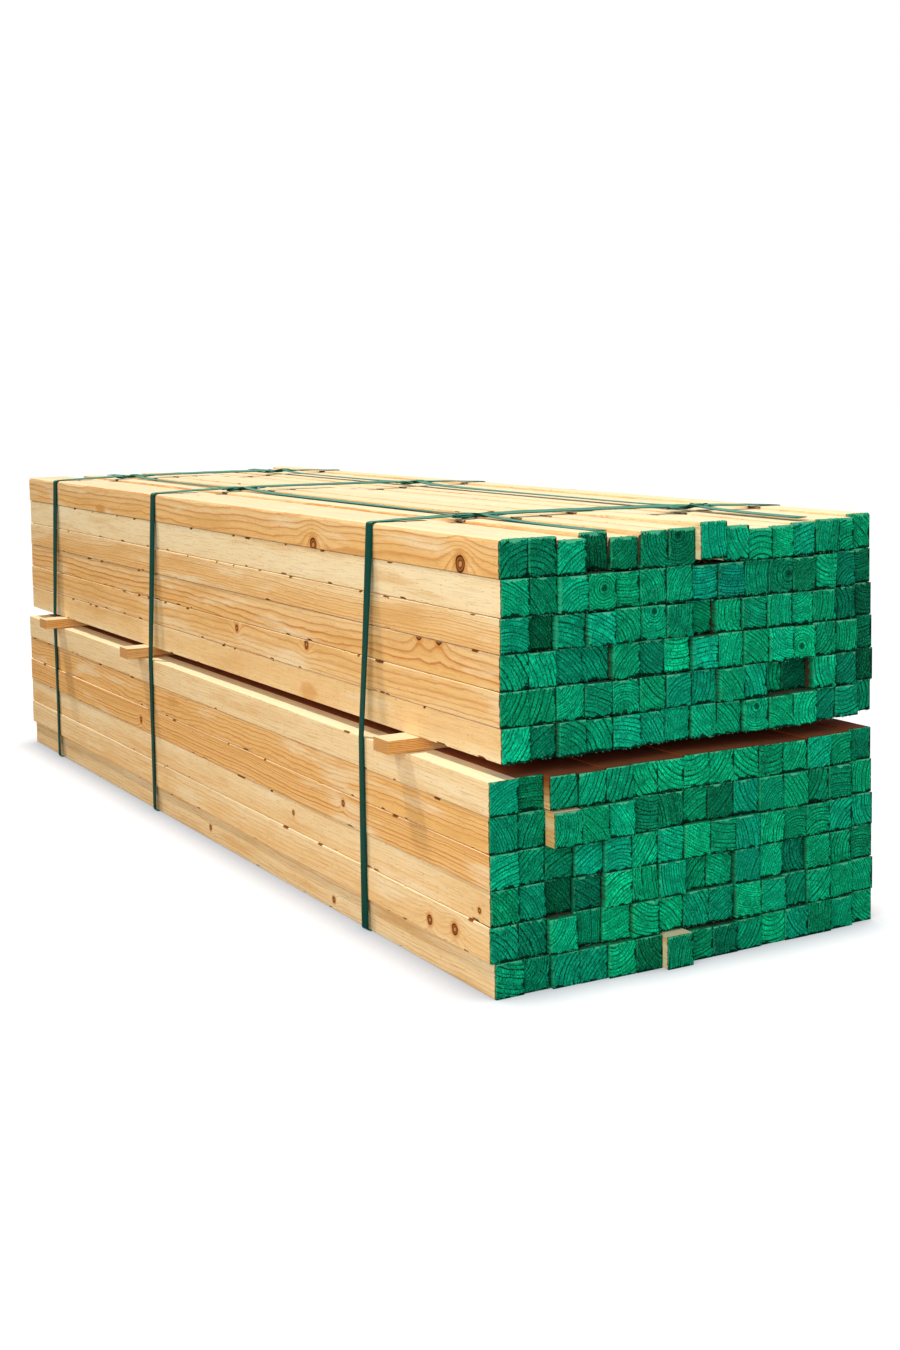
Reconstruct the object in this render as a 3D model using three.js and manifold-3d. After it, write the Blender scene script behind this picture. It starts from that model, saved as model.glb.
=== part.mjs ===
// A bundle of sawn pine studs: two packs of square studs, one on top of the other, kept
// apart by spacer sticks and held together with plastic strapping.
//
// Units are millimetres, +Z is up. X runs along the studs, with the painted ends at +X.
// Y runs across the bundle, from the face at -Y that stands in front to the back.

import * as THREE from 'three';
import { mergeVertices } from 'three/addons/utils/BufferGeometryUtils.js';
import Module from 'manifold-3d';

const wasm = await Module();
wasm.setup();

// ---------------------------------------------------------------- driving dimensions

// One stud, as it comes off the gang saw.
const studLength = 2100;
const studWidth = 45;
const studHeight = 50;

// How tightly the studs lie together.
const studsPerRow = 15;
const studGap = 0.5; // between neighbours in a row
const rowGap = 0.3; // between one row and the next

// The web that joins the studs of a row, out of sight in the joints.
const webHeight = 8;
const webInset = 70; // how far it stops short of both ends of the row

// The lower pack stands out in front of the upper one, and is turned a little.
const lowerPackForward = 21;
const lowerPackAhead = 4;
const lowerPackTurn = THREE.MathUtils.degToRad(-0.3);

// Spacer sticks, laid across the lower pack for the upper one to rest on.
const spacerWidth = 46;
const spacerHeight = 20;
const spacerStandOut = 50; // past the front face of the upper pack
const spacerBackInset = 2; // short of its back face
const seatGap = 0.3; // what a spacer leaves to each pack
const nearSpacerInset = 254; // from the painted ends
const middleSpacerOffset = 290; // from half way along, away from the painted ends
const farSpacerInset = 234; // from the plain ends

// Polyester strapping.
const strapWidth = 19;
const strapThickness = 1;
const strapClearance = 0.3; // between a strap and what it lies on
const grooveSide = 1.5; // room beside a strap that is pressed into the underside

// Three straps go round both packs. Each is skewed: its back run lies nearer the painted ends.
const nearStrapInset = 372;
const nearStrapSkew = 120;
const middleStrapOffset = 235;
const middleStrapSkew = 105;
const farStrapInset = 201;
const farStrapSkew = 40;

// Two straps run along the top and are knotted to the three that go round.
const frontTieInset = 178; // from the front face of the upper pack
const backTieInset = 146; // from its back face
const tieEndInset = 15; // short of both ends
const tieTurn = THREE.MathUtils.degToRad(-0.3);
const knotLength = 84; // across the bundle, along the strap it is tied to
const knotWidth = 30;
const knotHeight = 8;

// The rows of both packs from the top down. Each row is made of planks laid side by side and
// ripped into studs: [studs in the plank, how far its ends stand out, how much thinner it is].
// thicker is how much the sawn height of the row differs from studHeight.
const upperRows = [
  {
    thicker: 3,
    planks: [[2, 0], [1, 6, 4], [1, -12], [1, -2, 6], [2, 8], [1, 22], [1, 15, 3], [1, 11, 7],
      [1, 4, 6], [2, 0, 4], [1, -18, 2], [1, -34]],
  },
  {
    thicker: 2,
    planks: [[2, 1], [1, 8], [1, 12], [3, 0], [1, -2], [1, 6], [2, 4], [1, 0], [1, -3],
      [1, -17], [1, -34]],
  },
  {
    thicker: -1,
    planks: [[1, 0], [1, -10], [1, -1], [1, 8], [1, 4], [2, 2], [1, -14], [1, -4], [1, 0],
      [1, 4], [2, -4], [1, -13], [1, -31]],
  },
  {
    thicker: 0,
    planks: [[2, -4], [2, -10], [1, 2], [1, -6], [1, -4], [2, 1], [2, 4], [1, 1], [1, -4],
      [1, -11], [1, -29]],
  },
  {
    thicker: -1,
    planks: [[2, -4], [2, -1], [1, 0], [2, -2], [1, -6], [1, 8], [1, 2], [2, -24], [1, -3],
      [1, -11], [1, -27]],
  },
  {
    thicker: -2,
    planks: [[1, -2], [1, -6], [2, 1], [1, 2], [2, -5], [2, -2], [1, 1], [2, 4], [1, -8],
      [1, -9], [1, -32]],
  },
];
const lowerRows = [
  {
    thicker: -2,
    planks: [[1, -3], [1, -10], [3, 8], [4, 1], [2, 2], [1, -1], [1, 1], [1, -5], [1, -14]],
  },
  {
    thicker: 1,
    planks: [[1, -6], [1, -10], [2, 16], [1, 10], [2, 3], [1, -4], [1, -2], [1, 0], [2, 2],
      [1, -6], [1, -4], [1, -13]],
  },
  {
    thicker: -1,
    planks: [[1, -3], [2, -7], [1, -3], [1, 5], [2, 2], [2, 7], [2, 3], [1, 1], [1, 0],
      [1, -4], [1, -10]],
  },
  {
    thicker: 0,
    planks: [[1, -6], [1, -8], [1, -16], [1, -9], [3, 3], [1, -8], [1, -5], [1, 4], [1, -2],
      [1, -8], [1, 1], [1, -4], [1, -12]],
  },
  {
    thicker: 0,
    planks: [[2, -6], [1, 2], [1, -8], [1, -3], [1, 6], [2, 0], [1, 1], [2, 6], [1, -2],
      [1, 1], [1, -3], [1, -9]],
  },
  {
    thicker: -1,
    planks: [[1, -3], [1, -5], [1, -1], [1, 3], [2, 6], [1, 20], [1, 5, 4], [1, 7, 5],
      [1, 2, 3], [2, 2, 2], [1, 1], [1, -3], [1, -11]],
  },
];

// ---------------------------------------------------------------- derived sizes

const studPitch = studWidth + studGap;
const packWidth = studsPerRow * studPitch - studGap;
const rowHeight = (row) => studHeight + row.thicker;
const packHeight = (rows) => rows.reduce((sum, row) => sum + rowHeight(row) + rowGap, -rowGap);
const lowerTop = packHeight(lowerRows);
const upperBottom = lowerTop + spacerHeight + 2 * seatGap;
const upperTop = upperBottom + packHeight(upperRows);
const grooveDepth = strapThickness + 2 * strapClearance;

// ---------------------------------------------------------------- materials

const pine = (name, colour) =>
  new THREE.MeshStandardMaterial({ name, color: colour, roughness: 0.75, metalness: 0 });
const paleUpper = pine('pine_upper', 0xe8c48a);
const paleLower = pine('pine_lower', 0xdfb478);
const spacerPine = pine('pine_spacer', 0xc99a5c);
const strapping = new THREE.MeshStandardMaterial({
  name: 'strapping',
  color: 0x14463c,
  roughness: 0.4,
  metalness: 0,
});

// ---------------------------------------------------------------- solids

// Turns a closed three.js geometry into a solid that can be joined and cut.
function toSolid(geometry) {
  const bare = geometry.clone();
  bare.deleteAttribute('normal');
  bare.deleteAttribute('uv');
  const merged = mergeVertices(bare);
  return new wasm.Manifold(new wasm.Mesh({
    numProp: 3,
    vertProperties: merged.attributes.position.array,
    triVerts: new Uint32Array(merged.index.array),
  }));
}

// Turns a solid back into a geometry.
function toGeometry(solid) {
  const mesh = solid.getMesh();
  const geometry = new THREE.BufferGeometry();
  geometry.setAttribute('position', new THREE.BufferAttribute(mesh.vertProperties, 3));
  geometry.setIndex(new THREE.BufferAttribute(mesh.triVerts, 1));
  geometry.computeVertexNormals();
  return geometry;
}

// A box between two corners.
function boxBetween(low, high) {
  const size = high.clone().sub(low);
  const centre = low.clone().add(high).multiplyScalar(0.5);
  return new THREE.BoxGeometry(size.x, size.y, size.z).translate(centre.x, centre.y, centre.z);
}

function addMesh(parent, name, geometry, material) {
  const mesh = new THREE.Mesh(geometry, material);
  mesh.name = name;
  parent.add(mesh);
  return mesh;
}

// Slides geometry along X by skew for each packWidth that it lies further back.
function skewed(geometry, skew) {
  const shear = new THREE.Matrix4();
  shear.elements[4] = skew / packWidth;
  return geometry.applyMatrix4(shear);
}

// ---------------------------------------------------------------- rows of studs

// The studs of one row lie side by side, with a joint between each two. The joints are cut
// from above, from below and from both ends, down to a web that keeps the row in one piece.
function rowOfStuds(row, z) {
  const height = rowHeight(row);
  const webMiddle = z + height / 2;
  let solid = toSolid(boxBetween(
    new THREE.Vector3(webInset - studLength, studWidth / 2, webMiddle - webHeight / 2),
    new THREE.Vector3(-webInset, packWidth - studWidth / 2, webMiddle + webHeight / 2),
  ));
  let y = 0;
  for (const [studs, standOut, thinner = 0] of row.planks) {
    for (let stud = 0; stud < studs; stud += 1) {
      solid = solid.add(toSolid(boxBetween(
        new THREE.Vector3(standOut - studLength, y, z),
        new THREE.Vector3(standOut, y + studWidth, z + height - thinner),
      )));
      y += studPitch;
    }
  }
  return solid;
}

// One pack: its rows from the top down, standing on z = 0. grooves is cut from the lowest.
function packOfRows(prefix, rows, material, grooves) {
  const pack = new THREE.Group();
  let z = packHeight(rows);
  rows.forEach((row, index) => {
    z -= rowHeight(row);
    let solid = rowOfStuds(row, z);
    if (grooves && index === rows.length - 1) {
      solid = solid.subtract(grooves);
    }
    addMesh(pack, `${prefix}_row_${index + 1}`, toGeometry(solid), material);
    z -= rowGap;
  });
  return pack;
}

// ---------------------------------------------------------------- straps round both packs

const crossStraps = [
  { x: -nearStrapInset, skew: nearStrapSkew },
  { x: -studLength / 2 - middleStrapOffset, skew: middleStrapSkew },
  { x: -studLength + farStrapInset, skew: farStrapSkew },
];

// Where a point of the lower pack, given from its front bottom corner, lies in the bundle.
function lowerPackPlace() {
  return new THREE.Matrix4()
    .makeTranslation(lowerPackAhead, -lowerPackForward, 0)
    .multiply(new THREE.Matrix4().makeRotationZ(lowerPackTurn));
}

// How far the front face of the lower pack stands out in front of y = 0 at a given x.
function lowerFrontAt(x) {
  return -lowerPackForward + (x - lowerPackAhead) * Math.tan(lowerPackTurn);
}

// The corners a strap is pulled over, in (y, z), from the top front corner round the front.
function strapCorners(x, skew) {
  const front = lowerFrontAt(x);
  const back = lowerFrontAt(x + skew) + packWidth / Math.cos(lowerPackTurn);
  return [
    new THREE.Vector2(0, upperTop),
    new THREE.Vector2(front, lowerTop),
    new THREE.Vector2(front, grooveDepth),
    new THREE.Vector2(back, grooveDepth),
    new THREE.Vector2(packWidth, upperBottom),
    new THREE.Vector2(packWidth, upperTop),
  ];
}

// Moves every side of an outline outwards by a distance, with square-cut corners. The outline
// runs with its inside on the left.
function outlineMovedOut(corners, distance) {
  return corners.map((corner, index) => {
    const before = corners[(index + corners.length - 1) % corners.length];
    const after = corners[(index + 1) % corners.length];
    const into = corner.clone().sub(before).normalize();
    const out = after.clone().sub(corner).normalize();
    const sideIn = new THREE.Vector2(into.y, -into.x);
    const sideOut = new THREE.Vector2(out.y, -out.x);
    const middle = sideIn.clone().add(sideOut);
    return corner.clone().add(middle.multiplyScalar(distance / (1 + sideIn.dot(sideOut))));
  });
}

// A closed band round both packs.
function crossStrap({ x, skew }) {
  const corners = strapCorners(x, skew);
  const band = new THREE.Shape(outlineMovedOut(corners, strapClearance + strapThickness));
  band.holes.push(new THREE.Path(outlineMovedOut(corners, strapClearance)));
  const geometry = new THREE.ExtrudeGeometry(band, { depth: strapWidth, bevelEnabled: false });
  const acrossTheBundle = new THREE.Matrix4().makeBasis(
    new THREE.Vector3(0, 1, 0),
    new THREE.Vector3(0, 0, 1),
    new THREE.Vector3(1, 0, 0),
  );
  geometry.applyMatrix4(acrossTheBundle).translate(x - strapWidth / 2, 0, 0);
  return skewed(geometry, skew);
}

// The grooves that the straps press into the underside of the lower pack, in its own frame.
function strapGrooves() {
  const halfWidth = strapWidth / 2 + grooveSide;
  const beyond = studWidth;
  const intoPack = lowerPackPlace().invert();
  const cutters = crossStraps.map(({ x, skew }) => toSolid(skewed(boxBetween(
    new THREE.Vector3(x - halfWidth, -lowerPackForward - beyond, -grooveDepth),
    new THREE.Vector3(x + halfWidth, packWidth + beyond, grooveDepth),
  ), skew).applyMatrix4(intoPack)));
  return cutters.reduce((all, cutter) => all.add(cutter));
}

// ---------------------------------------------------------------- straps along the top

const tieBottom = upperTop + strapClearance + strapThickness + strapClearance;
const tieLength = studLength - 2 * tieEndInset;

// A flat dome, standing on z = 0, for the crumpled lump where two straps are knotted.
function knotDome() {
  const steps = 5;
  const profile = [new THREE.Vector2(0, 0)];
  for (let step = 0; step < steps; step += 1) {
    const angle = (step / steps) * (Math.PI / 2);
    profile.push(new THREE.Vector2(Math.cos(angle), Math.sin(angle)));
  }
  profile.push(new THREE.Vector2(0, 1));
  return new THREE.LatheGeometry(profile, 16)
    .rotateX(Math.PI / 2)
    .scale(knotWidth / 2, knotLength / 2, knotHeight);
}

// A band along the top with its three knots. y is where its middle lies.
function tieStrap(y) {
  const yAt = (x) => y + (x + studLength / 2) * Math.tan(tieTurn);
  const band = new THREE.BoxGeometry(tieLength, strapWidth, strapThickness)
    .rotateZ(tieTurn)
    .translate(-studLength / 2, y, tieBottom + strapThickness / 2);
  let solid = toSolid(band);
  for (const { x, skew } of crossStraps) {
    const crossing = x + skew * (y / packWidth);
    solid = solid.add(toSolid(knotDome().translate(crossing, yAt(crossing), tieBottom)));
  }
  return toGeometry(solid);
}

// ---------------------------------------------------------------- the bundle

const bundle = new THREE.Group();

const upperPack = packOfRows('upper', upperRows, paleUpper);
upperPack.position.z = upperBottom;
bundle.add(upperPack);

const lowerPack = packOfRows('lower', lowerRows, paleLower, strapGrooves());
lowerPack.applyMatrix4(lowerPackPlace());
bundle.add(lowerPack);

const spacerPlaces = [
  -nearSpacerInset,
  -studLength / 2 - middleSpacerOffset,
  -studLength + farSpacerInset,
];
spacerPlaces.forEach((x, index) => {
  const stick = boxBetween(
    new THREE.Vector3(x - spacerWidth / 2, -spacerStandOut, lowerTop + seatGap),
    new THREE.Vector3(x + spacerWidth / 2, packWidth - spacerBackInset, upperBottom - seatGap),
  );
  addMesh(bundle, `spacer_${index + 1}`, stick, spacerPine);
});

crossStraps.forEach((strap, index) => {
  addMesh(bundle, `cross_strap_${index + 1}`, crossStrap(strap), strapping);
});
addMesh(bundle, 'tie_strap_1', tieStrap(frontTieInset), strapping);
addMesh(bundle, 'tie_strap_2', tieStrap(packWidth - backTieInset), strapping);

// The origin is in the middle of the underside of the whole bundle.
const bounds = new THREE.Box3().setFromObject(bundle, true);
const middle = bounds.getCenter(new THREE.Vector3());
bundle.position.set(-middle.x, -middle.y, -bounds.min.z);

export default bundle;
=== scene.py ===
# %% [markdown]
# # A bundle of pine studs
#
# Two packs of square sawn studs lie one on the other, with sticks between them, held by plastic
# strapping. The solids of the bundle are loaded first as a fixed frame. Everything made below is laid
# over them, in the same place and in metres, so nothing has to be fitted afterwards.

import math
import random
from functools import partial

import bmesh
import bpy
from mathutils import Matrix, Vector


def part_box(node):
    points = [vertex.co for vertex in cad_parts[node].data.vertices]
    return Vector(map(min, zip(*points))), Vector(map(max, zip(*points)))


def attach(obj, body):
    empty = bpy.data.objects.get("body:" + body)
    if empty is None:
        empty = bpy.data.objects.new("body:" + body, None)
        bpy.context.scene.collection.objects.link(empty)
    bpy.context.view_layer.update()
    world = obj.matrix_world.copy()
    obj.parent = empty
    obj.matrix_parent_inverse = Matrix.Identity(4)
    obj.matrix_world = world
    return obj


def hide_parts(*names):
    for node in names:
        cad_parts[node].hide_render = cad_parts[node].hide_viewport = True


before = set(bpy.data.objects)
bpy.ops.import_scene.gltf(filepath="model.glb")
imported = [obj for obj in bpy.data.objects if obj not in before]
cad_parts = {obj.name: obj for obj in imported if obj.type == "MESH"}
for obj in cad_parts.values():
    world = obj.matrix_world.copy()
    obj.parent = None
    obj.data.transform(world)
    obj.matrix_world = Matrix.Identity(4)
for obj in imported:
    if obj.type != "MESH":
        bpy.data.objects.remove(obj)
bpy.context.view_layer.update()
MM = 0.001

# %% [markdown]
# ## A few small helpers
#
# Colours are easiest to choose as the hex values of a paint chart, but a shader works in linear light,
# so one function converts them. Another adds a shader node together with its settings and its links,
# which keeps each material short enough to read. The rest put a mesh or a lamp into the scene.

# %% Helpers for colours, nodes and objects
def linear(hex_colour):
    """An sRGB hex colour as the linear RGBA that shaders take."""
    parts = [int(hex_colour[i : i + 2], 16) / 255 for i in (1, 3, 5)]
    return (*[p / 12.92 if p <= 0.04045 else ((p + 0.055) / 1.055) ** 2.4 for p in parts], 1.0)


def add_node(tree, kind, *inputs, **settings):
    """A new shader node. An input is a value, a hex colour, an output, or a node for its first one.

    Inputs fill the sockets in turn, or one dictionary says which socket takes what."""
    made = tree.nodes.new("ShaderNode" + kind)
    for name, value in settings.items():
        setattr(made, name, value)
    sockets = inputs[0] if inputs and isinstance(inputs[0], dict) else dict(enumerate(inputs))
    for socket, value in sockets.items():
        if isinstance(value, bpy.types.Node):
            value = value.outputs[0]
        if isinstance(value, bpy.types.NodeSocket):
            tree.links.new(value, made.inputs[socket])
        else:
            made.inputs[socket].default_value = linear(value) if isinstance(value, str) else value
    return made


def emptied(owner):
    """A material or a world, cleared of its nodes, and add_node for its tree."""
    owner.use_nodes = True
    owner.node_tree.nodes.clear()
    return owner, partial(add_node, owner.node_tree)


def mesh_from(name, shape):
    data = bpy.data.meshes.new(name)
    shape.to_mesh(data)
    shape.free()
    return data


def write_attribute(data, key, places):
    flat = [part for place in places for part in place]
    data.attributes.new(key, "FLOAT_VECTOR", "POINT").data.foreach_set("vector", flat)


def put_in_scene(name, data):
    made = bpy.data.objects.new(name, data)
    bpy.context.scene.collection.objects.link(made)
    return made


print("white is", linear("#ffffff"))

# %% [markdown]
# ## Camera
#
# The camera stands a little above the bundle, off the corner between the painted ends and the front
# face. It looks five degrees down with a slight roll. The optical axis is above the middle of the
# picture, which is what shift_y is for: it keeps the upright edges from leaning together.

# %% Camera
PICTURE_HEIGHT = 1350
FOCAL_LENGTH_PIXELS = 1798.93
AXIS_ROW = 544.95
CAMERA_PLACE = Vector((3.0708, -1.5450, 0.8311))
CAMERA_YAW = 1.051274
CAMERA_PITCH = 0.0910358
CAMERA_ROLL = -0.0154083


def make_camera():
    level_right = Vector((math.cos(CAMERA_YAW), math.sin(CAMERA_YAW), 0))
    forward = Vector((
        -math.sin(CAMERA_YAW) * math.cos(CAMERA_PITCH),
        math.cos(CAMERA_YAW) * math.cos(CAMERA_PITCH),
        -math.sin(CAMERA_PITCH),
    ))
    level_up = level_right.cross(forward)
    right = level_right * math.cos(CAMERA_ROLL) + level_up * math.sin(CAMERA_ROLL)
    data = bpy.data.cameras.new("camera")
    data.sensor_width = 36
    data.lens = FOCAL_LENGTH_PIXELS / PICTURE_HEIGHT * data.sensor_width
    data.shift_y = AXIS_ROW / PICTURE_HEIGHT - 0.5
    data.clip_end = 100
    camera = put_in_scene("camera", data)
    turn = Matrix((right, right.cross(forward), -forward)).transposed()
    camera.matrix_world = Matrix.Translation(CAMERA_PLACE) @ turn.to_4x4()
    bpy.context.scene.camera = camera
    return camera


camera = make_camera()
print("lens", round(camera.data.lens, 2), "mm, shift", round(camera.data.shift_y, 4))

# %% [markdown]
# ## Light and floor
#
# A high, soft sun stands behind the plain ends and to the front. It rakes along the front face, where
# straps and sticks cast long shadows, and leaves the painted ends in even shade. A white world fills the
# rest, with a large, weak softbox in front and a small one beyond the far end of the painted ends, so
# that these don't grow duller towards it. The sun leaves the floor alone, so only a soft shadow lies
# under the bundle. The floor lights up white for the camera but keeps part of that shadow, and it
# darkens where little open sky is in reach, as in a real contact shadow.

# %% Sun, world and floor
TOWARDS_SUN = Vector((-0.400, -0.200, 0.895))
SUN_STRENGTH = 2.65
SUN_WIDTH = math.radians(5)
WORLD_STRENGTH = 0.3
SOFTBOXES = {  # name: place, side in metres, watts
    "large softbox": (Vector((3.5, -3.7, 2.0)), 3.0, 118),
    "small softbox": (Vector((2.4, 2.8, 1.3)), 1.6, 14),
}
FLOOR_HALF_SIDE = 30
FLOOR_GLOW_SHARE = 0.42
FLOOR_GLOW = 2.1
CONTACT_REACH = 0.09  # metres of floor that the contact shadow darkens
CONTACT_SHADE = "#b4b8be"


def make_floor():
    """A white painted studio floor: matt, and lit from within only for the camera."""
    shape = bmesh.new()
    bmesh.ops.create_grid(shape, x_segments=1, y_segments=1, size=FLOOR_HALF_SIDE)
    floor = put_in_scene("floor", mesh_from("floor", shape))
    material, add = emptied(bpy.data.materials.new("white studio floor"))
    seen = add("LightPath").outputs["Is Camera Ray"]
    share = add("Math", seen, FLOOR_GLOW_SHARE, operation="MULTIPLY")
    open_sky = add("AmbientOcclusion", {"Distance": CONTACT_REACH}).outputs["AO"]
    bright = add("MapRange", open_sky, 0.45, 1.0)
    white = add("Mix", {0: bright, 6: CONTACT_SHADE, 7: "#ffffff"}, data_type="RGBA").outputs[2]
    matt, glow = add("BsdfDiffuse", white), add("Emission", white, FLOOR_GLOW)
    add("OutputMaterial", add("MixShader", share, matt, glow))
    floor.data.materials.append(material)
    return floor


def make_sun(floor):
    data = bpy.data.lights.new("sun", "SUN")
    data.energy = SUN_STRENGTH
    data.angle = SUN_WIDTH
    data.color = linear("#fff6e8")[:3]
    sun = put_in_scene("sun", data)
    sun.rotation_euler = TOWARDS_SUN.to_track_quat("Z", "Y").to_euler()
    unlit = bpy.data.collections.new("not lit by the sun")
    unlit.objects.link(floor)
    unlit.collection_objects[0].light_linking.link_state = "EXCLUDE"
    sun.light_linking.receiver_collection = unlit


def make_softbox(name, place, side, watts):
    data = bpy.data.lights.new(name, "AREA")
    data.energy = watts
    data.size = side
    softbox = put_in_scene(name, data)
    softbox.location = place
    softbox.rotation_euler = place.to_track_quat("Z", "Y").to_euler()


def make_world():
    """White for the camera and for reflections, and dimmer as a light."""
    world, add = emptied(bpy.data.worlds.new("white studio"))
    rays = add("LightPath")
    seen = rays.outputs["Is Camera Ray"]
    for ray in ("Is Glossy Ray", "Is Transmission Ray"):
        seen = add("Math", seen, rays.outputs[ray], operation="MAXIMUM")
    fill, white = (add("Background", "#ffffff", strength) for strength in (WORLD_STRENGTH, 1.0))
    add("OutputWorld", add("MixShader", seen, fill, white))
    bpy.context.scene.world = world


bpy.context.scene.view_settings.view_transform = "Standard"
make_sun(make_floor())
for name, (place, side, watts) in SOFTBOXES.items():
    make_softbox(name, place, side, watts)
make_world()
print("sun stands", round(math.degrees(math.asin(TOWARDS_SUN.z))), "degrees high")

# %% [markdown]
# ## Sawn pine
#
# Pine is a stack of cones: each year adds a pale, soft ring and then a thin, dark, hard one. A stud is a
# straight cut through those cones, so its ends show arcs and its long faces show lines and flames, and
# the two always meet at the edges. The material copies that. Every stud carries, in an attribute, its
# place inside the log it came from, in millimetres: along the log, and two ways from the pith. Distance
# from the pith, bent a little by noise, then gives the rings on every face at once. The other attributes
# say where on the stud a point lies and how this piece of wood differs from its neighbours.

# %% Attributes that a stud carries, three numbers in each
LOG_PLACE = "log_place"  # millimetres along the log, and across and up from its pith
STUD_PLACE = "stud_place"  # millimetres behind the painted end, across it and up it
LOOK = "look"  # tone from pale sapwood to orange heartwood, strength of the rings, their width
PAINT = "paint"  # how much paint the end took, with painted shade on ends that sit back, how blue it is, how far the spray reaches back
STATE = "state"  # darker: painted shade between the packs, the bottom edge of the lowest front stud, the spacer sticks; loose fibre; bark left on, and 2 for a crushed notch painted dark as shade
KNOTS = ("knot_1", "knot_2")  # along and up from the knot in knot radii, and its radius in mm
STAIN = "stain"  # along and up from the stain in stain radii, and its strength
ATTRIBUTES = (LOG_PLACE, STUD_PLACE, LOOK, PAINT, STATE, *KNOTS, STAIN)
END_ACROSS, END_UP = 45.0, 50.0  # millimetres, the size of an end in STUD_PLACE
print(len(ATTRIBUTES), "attributes on each stud")

# %% [markdown]
# Five patterns return again and again, so each has a function: an attribute split into three numbers,
# a noise stretched along the fibres, a place moved about by noise, coats of colour that show where a
# mask rises, and a colour multiplied by a shade between two limits.

# %% Patterns in the log
FIBRE = (55, 1.6, 1.6)  # millimetres along and across a streak in the wood


def three_numbers(add, attribute):
    return add("SeparateXYZ", add("Attribute", attribute_name=attribute).outputs["Vector"]).outputs


def fibre_noise(add, place, feature, detail=2.0):
    """A noise in the log's own directions, with features of the given size in millimetres."""
    scaled = add("VectorMath", place, [1 / side for side in feature], operation="MULTIPLY")
    return add("TexNoise", {"Vector": scaled, "Scale": 1.0, "Detail": detail})


def moved_by_noise(add, place, feature, reach):
    """place, pushed about by a noise whose features measure feature and whose swing is reach."""
    cloud = fibre_noise(add, place, feature).outputs["Color"]
    centred = add("VectorMath", cloud, (0.5, 0.5, 0.5), operation="SUBTRACT")
    push = add("VectorMath", centred, reach, operation="MULTIPLY")
    return add("VectorMath", place, push, operation="ADD")


def coated(add, colour, *coats):
    """colour under coats, each of which shows where its mask goes from low to high, up to most."""
    for over, mask, low, high, most in coats:
        share = add("MapRange", mask, low, high, 0.0, most, interpolation_type="SMOOTHSTEP")
        colour = add("Mix", {0: share, 6: colour, 7: over}, data_type="RGBA").outputs[2]
    return colour


def shaded(add, colour, mask, low, high, darkest, brightest):
    """colour multiplied by a shade that follows mask from darkest to brightest."""
    shade = add("MapRange", mask, low, high, darkest, brightest)
    return add("VectorMath", colour, shade, operation="MULTIPLY")


print("a fibre streak is", FIBRE[0], "by", FIBRE[1], "mm")

# %% [markdown]
# The rings come next. A log is never straight, so a slow noise moves its pith from side to side along
# its length, and that is what turns straight lines into flames on a flat-sawn face. Two finer noises
# give each line its own tremble and ripple. Near a knot the rings swell out over the branch, which draws
# the eye-shaped lines round it.

# %% Rings of the log
BENDS = (  # the size of the noise and how far it moves the rings, in millimetres
    ((540, 3000, 3000), (0, 26, 26)),
    ((62, 24, 24), (0, 3.6, 3.6)),
    ((30, 9, 9), (0, 1.7, 1.7)),
)
LATE_WOOD = ((0.0, 0.3), (0.08, 0.0), (0.5, 0.08), (0.73, 0.38), (0.87, 1.0), (0.95, 0.9), (1.0, 0.3))
SWELL_HEIGHT = 1.5  # of the knot's radius
SWELL_REACH = 3.0  # knot radii
SEASONS = 0.45  # how fast good and bad years follow one another


def knot_distance(add, name):
    """How far from the knot's middle, in knot radii, and the knot's radius in millimetres."""
    along, up, radius = three_numbers(add, name)
    lumpy = moved_by_noise(add, add("CombineXYZ", along, up), (1.4, 1.4, 1.4), (0.45, 0.45, 0))
    return add("VectorMath", lumpy, operation="LENGTH").outputs["Value"], radius


def swelling(add, distance, radius):
    """How far the rings swell out over a branch, in millimetres."""
    squared = add("Math", distance, distance, operation="MULTIPLY")
    fade = add("Math", squared, -1 / SWELL_REACH**2, operation="MULTIPLY")
    bell = add("Math", fade, operation="EXPONENT")
    tall = add("Math", radius, SWELL_HEIGHT, operation="MULTIPLY")
    return add("Math", bell, tall, operation="MULTIPLY")


def ring_pattern(add, place, width, knots):
    """The distance from the pith in millimetres, and how dark the late wood is, from 0 to 1."""
    for feature, reach in BENDS:
        place = moved_by_noise(add, place, feature, reach)
    across = add("VectorMath", place, (0, 1, 1), operation="MULTIPLY")
    radius = add("VectorMath", across, operation="LENGTH").outputs["Value"]
    for knot in knots:
        radius = add("Math", radius, swelling(add, *knot), operation="SUBTRACT")
    years = add("Math", radius, width, operation="DIVIDE")
    seasons = add("TexNoise", {"W": years, "Scale": SEASONS, "Detail": 1.0}, noise_dimensions="1D")
    uneven = add("Math", seasons, 1.3, years, operation="MULTIPLY_ADD")
    ramp = add("ValToRGB", add("Math", uneven, operation="FRACT"))
    steps = ramp.color_ramp.elements
    for step, (_, dark) in zip(steps, (LATE_WOOD[0], LATE_WOOD[-1])):
        step.color = (dark, dark, dark, 1)
    for position, dark in LATE_WOOD[1:-1]:
        steps.new(position).color = (dark, dark, dark, 1)
    strength = add("MapRange", seasons, 0.3, 0.65, 0.55)
    return radius, add("Math", add("RGBToBW", ramp), strength, operation="MULTIPLY")


print("rings wander", BENDS[0][1][1], "mm in", BENDS[0][0][0], "mm")
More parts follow.
